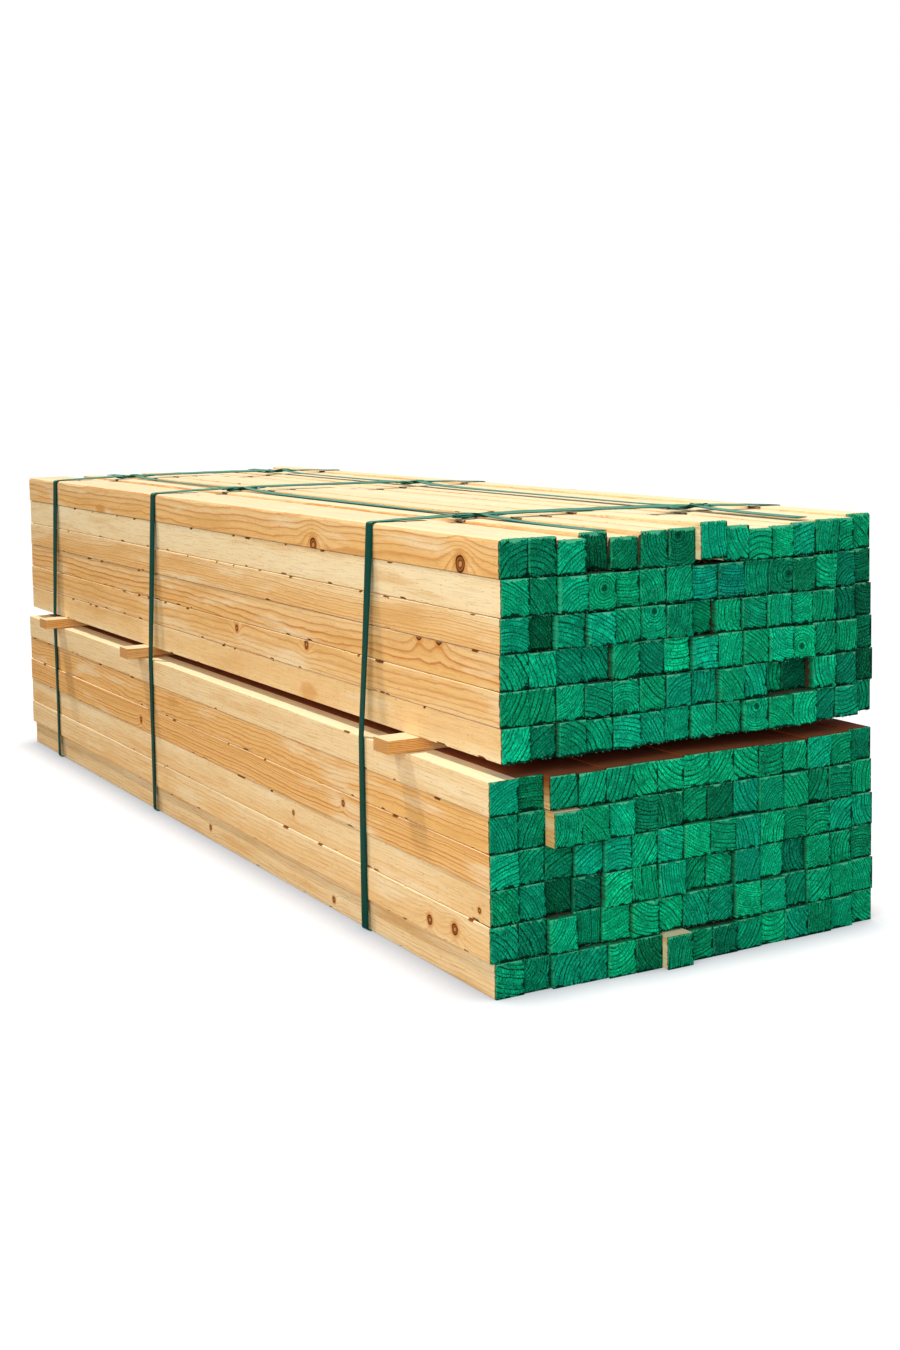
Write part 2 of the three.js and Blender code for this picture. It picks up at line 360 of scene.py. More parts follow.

# %% [markdown]
# Colour comes next. Sapwood is nearly cream and heartwood is orange, and both are darker in the late
# wood. Over that lie soft blotches, fine streaks along the fibres and small dashes, which are resin
# ducts cut open. A knot is the sawn branch: brown, with a dark bark edge, a pale core and a warm halo
# where resin has soaked in. Faces that look up are painted paler, a painted highlight, and faces hidden
# between the packs are painted dark brown, a painted shade.

# %% Colour of the wood
SAPWOOD = ("#fde6b6", "#e39b4d")  # early and late wood
HEARTWOOD = ("#f3bf74", "#bf6a2b")
HEART_RADIUS = (88, 52)  # millimetres from the pith, where heartwood begins
WOOD_COATS = (  # colour, size of its noise in mm and how fine it is, then where it shows and how much
    ("#e2a960", (240, 30, 30), 3.0, 0.5, 0.75, 0.6),  # blotches
    ("#ffecc4", (240, 30, 30), 3.0, 0.47, 0.3, 0.5),  # pale blotches
    ("#c98a45", FIBRE, 3.0, 0.5, 0.3, 0.34),  # streaks
    ("#9c5f25", (14, 1.0, 1.0), 0.0, 0.69, 0.8, 0.5),  # resin ducts
)
KNOT_COATS = (  # colour, where it begins and is full in knot radii, and how much of it
    ("#cf8238", 2.1, 1.0, 0.7),  # halo
    ("#4a240c", 1.12, 1.0, 1.0),  # bark
    ("#9a5a28", 0.92, 0.78, 1.0),  # branch
    ("#4a240c", 0.6, 0.52, 0.7),  # its own ring
    ("#c98d51", 0.45, 0.3, 1.0),  # core
)
RESIN_STAIN = "#d8964a"
BARK = "#855022"
PAINTED_NOTCH_SHADE = "#33200f"
END_GRAIN = "#c79358"
PAINTED_TOP_HIGHLIGHT = "#fff2d2"
DIM_BROWN_AND_PAINTED_SHADE = "#8c380c"


def wood_colour(add, place, look, late, radius, knots):
    """Rings, blotches, streaks, resin ducts and knots."""
    tone, figure, _ = look
    heart = add("MapRange", radius, *HEART_RADIUS, 0.0, 0.35, interpolation_type="SMOOTHSTEP")
    tone = add("Math", tone, heart, operation="ADD", use_clamp=True)
    early, dark = (coated(add, sap, (core, tone, 0.0, 1.0, 1.0))
                   for sap, core in zip(SAPWOOD, HEARTWOOD))
    strength = add("Math", late, figure, operation="MULTIPLY")
    coats = [(dark, strength, -0.1, 0.95, 1.0)]
    for over, feature, detail, *limits in WOOD_COATS:
        coats.append((over, fibre_noise(add, place, feature, detail), *limits))
    for distance, _ in knots:
        coats += [(over, distance, *limits) for over, *limits in KNOT_COATS]
    return coated(add, early, *coats)


def aged_colour(add, colour, place, state, end_axis):
    """colour with its resin stain, a painted highlight where it faces up, dull cut ends, bark, crushed
    notches painted dark as shade, and a darker brown that is painted shade between the packs.
    """
    dim_and_painted_shade, _, bark_and_notch_shade = state
    stain = add("Attribute", attribute_name=STAIN).outputs["Vector"]
    along, up, stained = add("SeparateXYZ", moved_by_noise(
        add, stain, (0.8, 0.8, 9), (0.9, 0.9, 0))).outputs
    reach = add("VectorMath", add("CombineXYZ", along, up), operation="LENGTH").outputs["Value"]
    soaked = coated(add, colour, (RESIN_STAIN, reach, 1.1, 0.55, 1.0))
    colour = add("Mix", {0: stained, 6: colour, 7: soaked}, data_type="RGBA").outputs[2]
    normal = add("SeparateXYZ", add("NewGeometry").outputs["Normal"]).outputs
    endways = add("Math", normal[end_axis], operation="ABSOLUTE")
    crumbs = add("Math", fibre_noise(add, place, (5, 3, 3)), bark_and_notch_shade, operation="MULTIPLY")
    return coated(
        add, colour,
        # painted highlight: faces that look up are paler
        (PAINTED_TOP_HIGHLIGHT, normal[2], 0.72, 0.95, 0.7),
        (END_GRAIN, endways, 0.7, 0.9, 0.6),
        # painted shade between the packs; the same brown also darkens the spacer sticks and the bottom
        # edge of the lowest front stud
        (DIM_BROWN_AND_PAINTED_SHADE, dim_and_painted_shade, 0.0, 1.0, 0.93),
        (BARK, crumbs, 0.12, 0.3, 1.0),
        # painted shade: crushed notches beside the straps are painted nearly black
        (PAINTED_NOTCH_SHADE, bark_and_notch_shade, 1.2, 1.8, 1.0),
    )


print("sapwood", SAPWOOD, "heartwood", HEARTWOOD)

# %% [markdown]
# The painted ends are wax emulsion, sprayed on thinly to stop the ends from drying out and splitting.
# It sinks into the open early wood and stays dull and dark in the late wood, so the rings still show.
# The saw leaves the end hairy: fibres that stand up catch more spray and turn a pale mint, and the pits
# between them stay nearly black. The outline is torn: pale fibres stand along the top and the near side,
# and the saw's exit leaves the bottom and the far side ragged and dark. The pale top edge is also a
# painted highlight, where those fibres catch the light, and the black bottom edge is also a painted
# shadow along the joint below it. Some spray drifts between the studs and coats the first millimetres of
# their sides, with a dirty film behind it. The film, and the wax that darkens deeper between the studs,
# are painted shade as well.

# %% Paint on the ends
WAX_DARK = "#003b28"
WAX_BLACK = "#001f15"
WAX_MIDDLE = "#00b277"
WAX_LIGHT = "#04e0a0"
WAX_BLUE = "#008a86"
WAX_MINT = "#3fc78e"
WAX_PALE = "#62d9a6"
# dirty film behind the paint, also laid deep between the studs as painted shade
FILM_AND_PAINTED_SHADE = "#1a2213"
HAIR = (40, 1.8, 2.9)  # this and the next five are millimetres along, across and up
SPECK = (40, 1.8, 1.8)
WISP = (40, 17, 12)
TUFT = (40, 2.6, 2.6)
TEAR = (60, 14, 14)  # where tufts are long
DRIFT = (7, 5, 5)  # where spray got in between the studs
TUFT_LENGTH = 9.0  # millimetres, times a noise that stays near a half
WAX_REACH, FILM_AND_SHADE_REACH = 2.0, 8.0  # times the reach in PAINT, times a noise near a half


def paint_colour(add, place, paint, late, radius):
    """Hairy end grain under a thin coat of green wax."""
    amount, blue, _ = paint
    hairs, wisps = fibre_noise(add, place, HAIR, 3.0), fibre_noise(add, place, WISP)
    colour = coated(add, WAX_MIDDLE, (WAX_LIGHT, hairs, 0.5, 0.68, 1.0), (WAX_BLUE, blue, 0.0, 1.0, 0.6))
    colour = shaded(add, colour, wisps, 0.32, 0.68, 0.6, 1.3)
    patchy = add("MapRange", wisps, 0.35, 0.6, 0.5, 1.25)
    rings = add("Math", late, patchy, operation="MULTIPLY")
    colour = coated(add, colour, (WAX_DARK, rings, 0.08, 0.7, 0.95), (WAX_BLACK, hairs, 0.46, 0.36, 0.68))
    colour = shaded(add, colour, amount, 0.0, 1.0, 0.3, 1.65)
    specks = fibre_noise(add, place, SPECK, 1.0)
    return coated(add, colour, (WAX_MINT, specks, 0.61, 0.71, 0.6), (WAX_BLACK, radius, 5.5, 3.0, 0.8))


def torn_outline_with_painted_light(add, place, colour, across, up):
    """colour with the bright and the dark edges of a sawn end: torn fibres, with a painted highlight along
    the top and a painted shadow along the bottom.
    """
    tear = fibre_noise(add, place, TEAR, 1.0)
    tufts = add("Math", tear, 1.5, fibre_noise(add, place, TUFT), operation="MULTIPLY_ADD")
    far_side = add("Math", END_ACROSS, across, operation="SUBTRACT")
    top = add("Math", END_UP, up, operation="SUBTRACT")
    for distance, edge_colour_and_light, width, most in (
        (across, WAX_MINT, 1.0, 0.35),
        # pale top edge: fibres, and a painted highlight where they catch the light
        (top, WAX_PALE, 1.1, 0.72),
        (far_side, WAX_BLACK, 1.8, 0.9),
        # black bottom edge: torn fibres, and a painted shadow along the joint below
        (up, WAX_BLACK, 3.0, 0.95),
    ):
        ragged = add("Math", tufts, -TUFT_LENGTH, distance, operation="MULTIPLY_ADD")
        start = width - 1.25 * TUFT_LENGTH
        colour = coated(add, colour, (edge_colour_and_light, ragged, start, start - 1.0, most))
    return colour


def sawn_pine(name, end_axis=0):
    """Kiln-dried pine, gang-sawn: matt, with a trace of sheen from the hard late wood.

    end_axis says which way the piece runs, 0 for X and 1 for Y."""
    material, add = emptied(bpy.data.materials.new(name))
    place = add("Attribute", attribute_name=LOG_PLACE).outputs["Vector"]
    spot, look, paint, state = (three_numbers(add, key) for key in (STUD_PLACE, LOOK, PAINT, STATE))
    behind, across, up = spot
    knots = [knot_distance(add, knot) for knot in KNOTS]
    radius, late = ring_pattern(add, place, look[2], knots)
    wood = wood_colour(add, place, look, late, radius, knots)
    wood = aged_colour(add, wood, place, state, end_axis)
    wax = paint_colour(add, place, paint, late, radius)
    # the film reaches further back than the wax and is also painted shade deep between the studs
    reach = add("Math", fibre_noise(add, place, DRIFT, 3.0), paint[2], operation="MULTIPLY")
    soiled_and_shaded, sprayed = (add("Math", reach, -times, behind, operation="MULTIPLY_ADD")
                       for times in (FILM_AND_SHADE_REACH, WAX_REACH))
    # painted shade: the wax on a side grows darker the deeper it lies between the studs
    thin = coated(add, wax, (WAX_BLACK, behind, 0.0, 6.0, 0.8))
    thick = coated(add, wax, (WAX_MINT, behind, 12.0, 1.0, 0.75))
    colour = coated(
        add, wood,
        (FILM_AND_PAINTED_SHADE, soiled_and_shaded, 1.0, -1.0, 0.93),
        (coated(add, thin, (thick, paint[2], 8.0, 16.0, 1.0)), sprayed, 0.5, -1.5, 0.95),
        (torn_outline_with_painted_light(add, place, wax, across, up), behind, 1.4, 0.3, 1.0),
        (WAX_PALE, state[1], 0.0, 1.0, 0.85),
    )
    rough = fibre_noise(add, place, (60, 1.2, 1.2), 3.0)
    height = add("Math", late, 0.35, rough, operation="MULTIPLY_ADD")
    bump = add("Bump", {"Strength": 0.4, "Distance": 0.5 * MM, "Height": height})
    add("OutputMaterial", add("BsdfPrincipled", {
        "Base Color": colour, "Roughness": 0.8, "Specular IOR Level": 0.04, "Normal": bump}))
    return material


pine = sawn_pine("sawn pine")
print(len(pine.node_tree.nodes), "nodes in the pine")

# %% [markdown]
# ## Where each stud lies
#
# Each layer of fifteen studs is one solid, and its corners say where every stud begins and ends. The
# lower pack is turned a little, and is straightened for this. Neighbours whose ends are level were
# ripped from one plank. Where a plank is listed below, its studs still lie in their old order
# and share a log. Elsewhere they were shuffled.

# %% Read the studs from the layers
STUDS_PER_ROW = 15
LAST = STUDS_PER_ROW - 1
STUD_PITCH = 45.5 * MM
LOWER_TURN = math.radians(-0.3)
ROWS = [(pack, number) for pack in ("upper", "lower") for number in range(1, 7)]
TOP_ROW, BOTTOM_ROW = ROWS[0], ROWS[-1]


def pack_turn(pack):
    return Matrix.Rotation(LOWER_TURN if pack == "lower" else 0.0, 3, "Z")


def stud_boxes(pack, number):
    """The lowest and highest corner of each stud in a layer, with the pack straightened."""
    straighten = pack_turn(pack).inverted()
    corners = [straighten @ v.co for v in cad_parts[f"{pack}_row_{number}"].data.vertices]
    front = min(corner.y for corner in corners)
    boxes = []
    for index in range(STUDS_PER_ROW):
        side = front + index * STUD_PITCH
        own = [c for c in corners if side - 0.1 * MM < c.y < side + STUD_PITCH - 0.4 * MM]
        boxes.append([Vector([pick(c[axis] for c in own) for axis in range(3)]) for pick in (min, max)])
    return boxes


def planks(boxes):
    """The studs of a layer as lists of neighbours whose painted ends are level."""
    groups = [[0]]
    for index in range(1, len(boxes)):
        if abs(boxes[index][1].x - boxes[index - 1][1].x) < 0.1 * MM:
            groups[-1].append(index)
        else:
            groups.append([index])
    return groups


layers = {row: stud_boxes(*row) for row in ROWS}
print(sum(len(planks(boxes)) for boxes in layers.values()), "planks for 180 studs")

# %% [markdown]
# ## The log behind each plank
#
# A plank's look is set by where it sat in its log. With the pith far below, its end shows wide flat arcs;
# with the pith beside it, the lines run upright. Each plank draws its log at random from a seed of its
# own, so the bundle is the same in every run. Planks that show plainly are listed instead, with
# the pith in millimetres from the front of the pack and up from the ground.

# %% Choose a log for every plank
CHOSEN_LOOKS = ("ring", "shade", "tone", "figure", "blue")
CHOSEN = {
    # (pack, row): {first stud: where the pith lies, then the looks above, with None where one is drawn}
    ("upper", 1): {
        0: (52, 554, 7.4, 0.5, 0.5, 0.68), 2: (170, 520, 6.0, 0.55), 3: (60, 580, 5.5, 0.12),
        4: (160, 640, 4.0), 5: (290, 612, 5.0), 8: (470, 640, 6.0), 9: (432, 545, 8.0, 0.45),
        13: (640, 540, 5.0, 0.8), 14: (560, 480, 5.0, 1.2),
    },
    ("upper", 2): {
        0: (-30, 462, 4.2, None, 0.0, 0.1), 3: (158, 545, 4.0), 7: (330, 650, 4.0, None, None, None, 0.8),
        8: (400, 640, 4.5, None, None, None, 0.9), 9: (491, 546, 5.5),
    },
    ("upper", 3): {
        0: (10, 430, 4.6, 0.5, 0.37, 0.65), 1: (20, 440, 4.2, 0.1), 2: (80, 400, 7.0, 0.35),
        5: (252, 508, 4.0),
    },
    ("upper", 4): {0: (-52, 395, 7.0, 0.5, 0.56, 0.8), 2: (40, 360, 6.0), 11: (518, 437, 4.5)},
    ("upper", 5): {0: (-38, 430, 7.5, None, 0.4, 0.65), 4: (205, 370, 4.0)},
    ("upper", 6): {0: (-40, 380, 6.0, None, 0.22, 0.2), 2: (80, 300, 7.0, 0.35), 9: (432, 354, 4.0)},
    ("lower", 1): {
        0: (60, 200, 4.0, None, 0.3, 0.3), 1: (60, 150, 4.5, 0.2), 2: (40, 330, 7.0, 0.4),
        5: (332, 322, 7.0, 0.55), 9: (470, 330, 8.0, 0.4),
    },
    ("lower", 2): {0: (-70, 180, 4.2, None, 0.8, 0.7)},
    ("lower", 3): {0: (64, 52, 5.0, None, 0.82, 0.8), 1: (160, 90, 6.5, 0.4)},
    ("lower", 4): {0: (-50, 60, 5.0, None, 0.32, 0.3), 2: (0, 20, 4.5, 0.05), 3: (80, 0, 4.5, 0.1)},
    ("lower", 5): {0: (-30, 20, 7.0, None, 0.2, 0.45)},
    ("lower", 6): {0: (50, 130, 6.5, None, 0.36, 0.5)},
}


def choose_log(row, group):
    """Where the plank's pith lies, in metres, and how its wood and its paint look."""
    boxes = layers[row]
    middle = (boxes[group[0]][0] + boxes[group[-1]][1]) / 2
    draw = random.Random(f"{row[0]} {row[1]} {group[0]}")
    far = draw.uniform(30, 140) * MM
    angle = draw.uniform(0, 2 * math.pi)
    log = {
        "pith_y": middle.y + far * math.cos(angle),
        "pith_z": middle.z + far * math.sin(angle),
        "ring": draw.uniform(3.0, 7.0),
        "tone": draw.uniform(0.0, 0.15) if row == TOP_ROW else draw.uniform(0.1, 0.9),
        "figure": draw.uniform(0.3, 0.9),
        "shade": draw.uniform(0.3, 0.8),
        "blue": draw.uniform(0.0, 0.6),
        "along": draw.uniform(0, 40000),
        "draw": draw,
    }
    if group[0] in CHOSEN[row]:
        across, up, *looks = CHOSEN[row][group[0]]
        log["pith_y"], log["pith_z"] = boxes[0][0].y + across * MM, up * MM
        log.update((key, look) for key, look in zip(CHOSEN_LOOKS, looks) if look is not None)
    return log


print(sum(len(chosen) for chosen in CHOSEN.values()), "planks chosen by hand")

# %% [markdown]
# ## One stud
#
# A stud starts as a cube, is stretched to its box and has its long edges eased, as the saw and handling
# leave them. Chips are cut where fibres broke out: the edge is cut across at the chip's ends, and the
# corners between slide inwards within their own faces, so the faces stay flat. The crosscut saw leaves
# fibres hanging from the bottom edge of each painted end, and these are small slivers of their own.

# %% Shape a stud
ARRIS = 1.2 * MM
HAIRBREADTH = 1e-5  # metres, to tell places on an edge from places beside it
CHIP_STEPS = (0.0, 0.2, 0.65, 1.0)
STRIP = 3.2 * MM  # beside the edge, and a chip's marks stay within it
SLIVERS = 8
FUZZ = 16  # slivers that stand up along the top of the bundle


def stretched_cube(low, high):
    shape = bmesh.new()
    bmesh.ops.create_cube(shape, size=1)
    bmesh.ops.scale(shape, vec=high - low, verts=shape.verts)
    bmesh.ops.translate(shape, vec=(low + high) / 2, verts=shape.verts)
    return shape


def ease_edges(shape, axis, offset=ARRIS, corner=None, others=False):
    """Rounds the edges that run along an axis: all, only the one at a corner, or all the others."""
    long_edges = [edge for edge in shape.edges
                  if abs((edge.verts[0].co - edge.verts[1].co).normalized()[axis]) > 0.9]
    if corner:
        long_edges = [edge for edge in long_edges if others != (max(
            abs(edge.verts[0].co[other] - corner[other]) for other in (1, 2)) < 0.01)]
    bmesh.ops.bevel(shape, geom=long_edges, offset=offset, offset_type="OFFSET", segments=2,
                    profile=0.5, affect="EDGES", material=-1)


def cut(shape, place, normal):
    everything = shape.verts[:] + shape.edges[:] + shape.faces[:]
    bmesh.ops.bisect_plane(shape, geom=everything, plane_co=place, plane_no=normal, dist=1e-7)


def chip_edge(shape, chip):
    """Breaks a chip out of the long edge that passes through its corner, in Y and Z."""
    places = [chip["x"] + step * chip["length"] for step in CHIP_STEPS]
    for x in places:
        cut(shape, (x, 0, 0), (1, 0, 0))
    for axis in (1, 2):
        beside = chip["corner"].copy()
        beside[axis] += chip["inward"][axis] * STRIP
        cut(shape, beside, (0, axis == 1, axis == 2))
    for vert in shape.verts:
        away = [abs(vert.co[axis] - chip["corner"][axis]) for axis in (1, 2)]
        if max(away) > 1.3 * ARRIS or not places[0] + 1e-6 < vert.co.x < places[-1] - 1e-6:
            continue
        on_front, on_top = (distance < 0.1 * ARRIS for distance in away)
        vert.co.y += chip["inward"][1] * chip["depth"] * (0.0 if on_front else 1.0 if on_top else 0.6)
        vert.co.z += chip["inward"][2] * chip["depth"] * (0.0 if on_top else 1.0 if on_front else 0.6)


def add_slivers(shape, low, high, draw, standing=False):
    """Loose fibres that hang from the bottom edge of the painted end, or stand on its top edge."""
    for _ in range(FUZZ if standing else SLIVERS):
        length, width = draw.uniform(1.0, 2.4 if standing else 3.6) * MM, draw.uniform(1.5, 5.0) * MM
        made = bmesh.ops.create_cone(shape, cap_ends=True, segments=4, radius1=width / 2,
                                     radius2=0, depth=length)["verts"]
        bmesh.ops.scale(shape, vec=(0.25, 1, 1), verts=made)
        turn = draw.uniform(-0.5, 0.5) + (0 if standing else math.pi)
        bmesh.ops.rotate(shape, cent=(0, 0, 0), matrix=Matrix.Rotation(turn, 3, "X"), verts=made)
        height = high.z - 0.8 * MM + length / 2 if standing else low.z + 0.8 * MM - length / 2
        place = Vector((high.x - 0.5 * MM, draw.uniform(low.y + 2 * MM, high.y - 2 * MM), height))
        bmesh.ops.translate(shape, vec=place, verts=made)


def wood_object(name, shape, values, material):
    """A mesh object that carries the attributes. values gives each one at a corner's place."""
    data = mesh_from(name, shape)
    places = [vert.co.copy() for vert in data.vertices]
    for key in ATTRIBUTES:
        write_attribute(data, key, map(values[key], places))
    data.materials.append(material)
    return put_in_scene(name, data)


print("edges eased by", round(ARRIS / MM, 1), "mm")

# %% [markdown]
# Every corner of a stud is told where it lies in the log, how far it is from the painted end, and what
# else the material needs. Knots are listed for the studs along the front, and drawn at random
# for the rest of the top and the back.

# %% Tell each corner what it is
FAR_AWAY = (1000.0, 1000.0, 1.0)
KNOTS_AT = {
    # (pack, row) of a front stud: along the bundle, height and radius in millimetres
    ("upper", 1): [(483, 574, 11), (950, 581, 12)],
    ("upper", 4): [(826, 470, 9), (884, 471, 10)],
    ("upper", 5): [(161, 404, 6), (448, 409, 7)],
    ("lower", 3): [(610, 182, 5), (-300, 170, 6)],
    ("lower", 4): [(1022, 116, 4), (420, 128, 4)],
    ("lower", 5): [(884, 68, 7), (956, 73, 8)],
    ("lower", 6): [(43, 23, 5), (560, 16, 5)],
}
STAINS_AT = {
    # (pack, row) of a front stud: along, height, half length and half height in mm, and strength
    ("upper", 1): (-548, 574, 34, 12, 0.85),
    ("upper", 6): (452, 330, 36, 20, 0.5),
    ("lower", 2): (-120, 232, 40, 9, 0.6),
}
DRIFTED = 11.0  # millimetres that the paint reaches back along a side
DRIFTED_OUTSIDE = 0.8
DRIFTED_AT = {
    # (pack, row, stud): the same for sides that show
    ("upper", 1, 7): 0.6, ("upper", 1, 8): 0.6, ("upper", 2, 2): 18.0, ("upper", 3, 2): 18.0,
    ("upper", 6, 6): 17.0, ("lower", 1, 2): 0.6, ("lower", 1, 9): 0.6, ("lower", 2, 2): 0.6,
    ("lower", 6, 6): 0.6,
}
TOPMOST_UP = 52.6  # millimetres, a little over its size, for pale fibres along the top of the bundle, with their painted highlight
FOREMOST_OF = 13  # studs from the front, among which a layer's foremost end is looked for
SHADE_SPREAD = 0.2
SET_BACK_PAINTED_SHADE = 0.012  # of the paint, for each millimetre that an end is set back by more than ten: painted shade from its neighbours, and less spray
TOP_IS_HIDDEN = {("lower", 1): True, ("upper", 6): False}  # layers that face the spacer sticks
UNDERSIDE_DIM = (3 * MM, 0.22)  # up the bottom front stud, and how dim


def knots_of(row, index, low, high, draw):
    """Up to two knots, as (x, place across the face, radius, which axis runs across the face)."""
    if index == 0:
        return [(x * MM, height * MM, size, 2) for x, height, size in KNOTS_AT.get(row, ())]
    across = 1 if row == TOP_ROW else 2
    return [(draw.uniform(low.x, high.x), draw.uniform(low[across], high[across]),
             draw.uniform(3, 9), across) for _ in range(draw.choice((0, 1, 1, 2)))]


def seen_from_knot(x, across, size, axis):
    """The place of a corner as the knot sees it, in knot radii, with the radius last."""
    return lambda p: ((p.x - x) / (size * MM), (p[axis] - across) / (size * MM), size)


def stud_values(row, index, low, high, log, chips):
    """What each attribute is at a place on the stud."""
    draw = log["draw"]
    set_back = (max(corner.x for _, corner in layers[row][:FOREMOST_OF]) - high.x) / MM
    shade = log["shade"] + draw.uniform(-SHADE_SPREAD, SHADE_SPREAD) - SET_BACK_PAINTED_SHADE * (set_back - 10)
    shade = max(0.0, min(0.9, shade))
    reach = DRIFTED_AT.get((*row, index), DRIFTED)
    size_up = TOPMOST_UP if row == TOP_ROW else END_UP

    def outside(p):
        eased = (WANE if row == TOP_ROW else ARRIS) + HAIRBREADTH
        front, back = index == 0 and p.y < low.y + eased, index == LAST and p.y > high.y - eased
        top = row[1] == 1 and p.z > high.z - ROUNDED[1] * MM - HAIRBREADTH
        return front or back or top

    # painted shade: faces between the packs get the dark brown; the lowest front stud is darker along its
    # bottom edge
    def dim_and_painted_shade(p):
        if row == BOTTOM_ROW and index == 0:
            return UNDERSIDE_DIM[1] if p.z < low.z + UNDERSIDE_DIM[0] else 0.0
        above = p.z > (low.z + high.z) / 2
        return float(index > 0 and row in TOP_IS_HIDDEN and above == TOP_IS_HIDDEN[row])

    def bark_and_notch_shade_at(p):
        near = [chip["bark_and_notch_shade"] for chip in chips if chip["bark_and_notch_shade"]
                and chip["x"] + HAIRBREADTH < p.x < chip["x"] + chip["length"] - HAIRBREADTH
                and max(abs(p[axis] - chip["corner"][axis]) for axis in (1, 2)) < STRIP - HAIRBREADTH]
        return float(near[0]) if near else 0.0

    values = {
        LOG_PLACE: lambda p: ((high.x - p.x) / MM + log["along"], (p.y - log["pith_y"]) / MM,
                              (p.z - log["pith_z"]) / MM),
        STUD_PLACE: lambda p: ((high.x - p.x) / MM, END_ACROSS * (p.y - low.y) / (high.y - low.y),
                               size_up * (p.z - low.z) / (high.z - low.z)),
        LOOK: lambda p: (log["tone"], log["figure"], log["ring"]),
        PAINT: lambda p: (shade, log["blue"], DRIFTED_OUTSIDE if outside(p) else reach),
        STATE: lambda p: (dim_and_painted_shade(p), float(not low.z - 0.3 * MM < p.z < high.z + 0.3 * MM), bark_and_notch_shade_at(p)),
        **dict.fromkeys((*KNOTS, STAIN), lambda p: FAR_AWAY),
    }
    for key, knot in zip(KNOTS, knots_of(row, index, low, high, draw)):
        values[key] = seen_from_knot(*knot)
    if index == 0 and row in STAINS_AT:
        x, z, length, height, strength = STAINS_AT[row]
        values[STAIN] = lambda p: ((p.x / MM - x) / length, (p.z / MM - z) / height, strength)
    return values


print(sum(len(knots) for knots in KNOTS_AT.values()), "knots placed by hand")

# %% [markdown]
# ## The layers
#
# Fifteen studs make a layer, joined into one object. Each stud is a hair smaller than its place, by an
# amount of its own, which opens the dark joints. The outer studs are chipped along the edges that show
# and bow by a millimetre or so. Layers are never quite flush: some sit a few millimetres back, which
# draws the light and dark lines along the front. Where a strap crosses the top it has crushed the edges
# of the studs, which leaves a notch beside it at every joint, painted nearly black as the shade in its
# hollow.

# %% Lay the studs
SET_BACK = {"upper": (0, 1.2, 0.2, 1.4, 0.6, 0.9), "lower": (0, 1.2, 0, 1.5, 0.3, 5.5)}
CHIPS = {"upper": (3, 16, 13, 8, 16, 9), "lower": (6, 10, 10, 8, 8, 8)}
CHIPS_ON_TOP = 4
HOOPS = ((-372, 120, 5.6), (-1285, 105, 6.6), (-1899, 40, 5.4))  # place, skew and lift in mm
PACK_CORNER = Vector((1054.168, -316.65, 0))  # front corner of the upper pack at the painted ends
PACK_WIDTH = 682.0
BOW = 0.9 * MM
BOW_CUTS = 9
BOW_WAVES = (2.3, 6.1)  # radians for each metre
WANE = 6.0 * MM  # the bark side of the top front stud
ROUNDED = (1.5, 4.0)  # millimetres off the far top edge of the other studs of the top layer
LIFTED = {3: 1.8, 7: 7.9, 8: 3.5, 12: 2.5}  # studs of the top layer whose painted ends bend up, mm
LIFTED_LENGTH = 0.95


def join(name, parts):
    """Joins objects into one, which keeps its name and its attributes."""
    with bpy.context.temp_override(active_object=parts[0], object=parts[0],
                                   selected_editable_objects=parts, selected_objects=parts):
        bpy.ops.object.join()
    parts[0].name = parts[0].data.name = name
    return parts[0]


def chips_of(row, index, low, high, draw):
    """The chips along the edges of a stud that show."""
    top = row == TOP_ROW
    if index == 0:
        edges = [(low.y, low.z)] if top else [(low.y, high.z), (low.y, low.z)]
    else:
        edges = [(low.y, high.z), (high.y, high.z)] if top else []
    chips = []
    for y, z in edges:
        edge = {
            "corner": Vector((0, y, z)),
            "inward": (0, 1 if y == low.y else -1, 1 if z == low.z else -1),
        }
        for _ in range(CHIPS[row[0]][row[1] - 1] if index == 0 else CHIPS_ON_TOP):
            chips.append({
                "x": draw.uniform(low.x + 0.02, high.x - 0.05), "length": draw.uniform(6, 26) * MM,
                "depth": draw.uniform(0.6, 2.2) * MM, "bark_and_notch_shade": draw.random() < (0.6 if index == 0 else 0.2),
                **edge,
            })
        for place, skew, _ in (HOOPS if top and index else ()):
            across = edge["corner"].y / MM - PACK_CORNER.y
            chips.append({
                "x": (PACK_CORNER.x + place + skew * across / PACK_WIDTH - draw.uniform(6, 10)) * MM,
                "length": draw.uniform(26, 42) * MM, "depth": draw.uniform(2.4, 3.8) * MM,
                # a crushed notch, painted nearly black as the shade in its hollow
                "bark_and_notch_shade": 2, **edge,
            })
    return chips


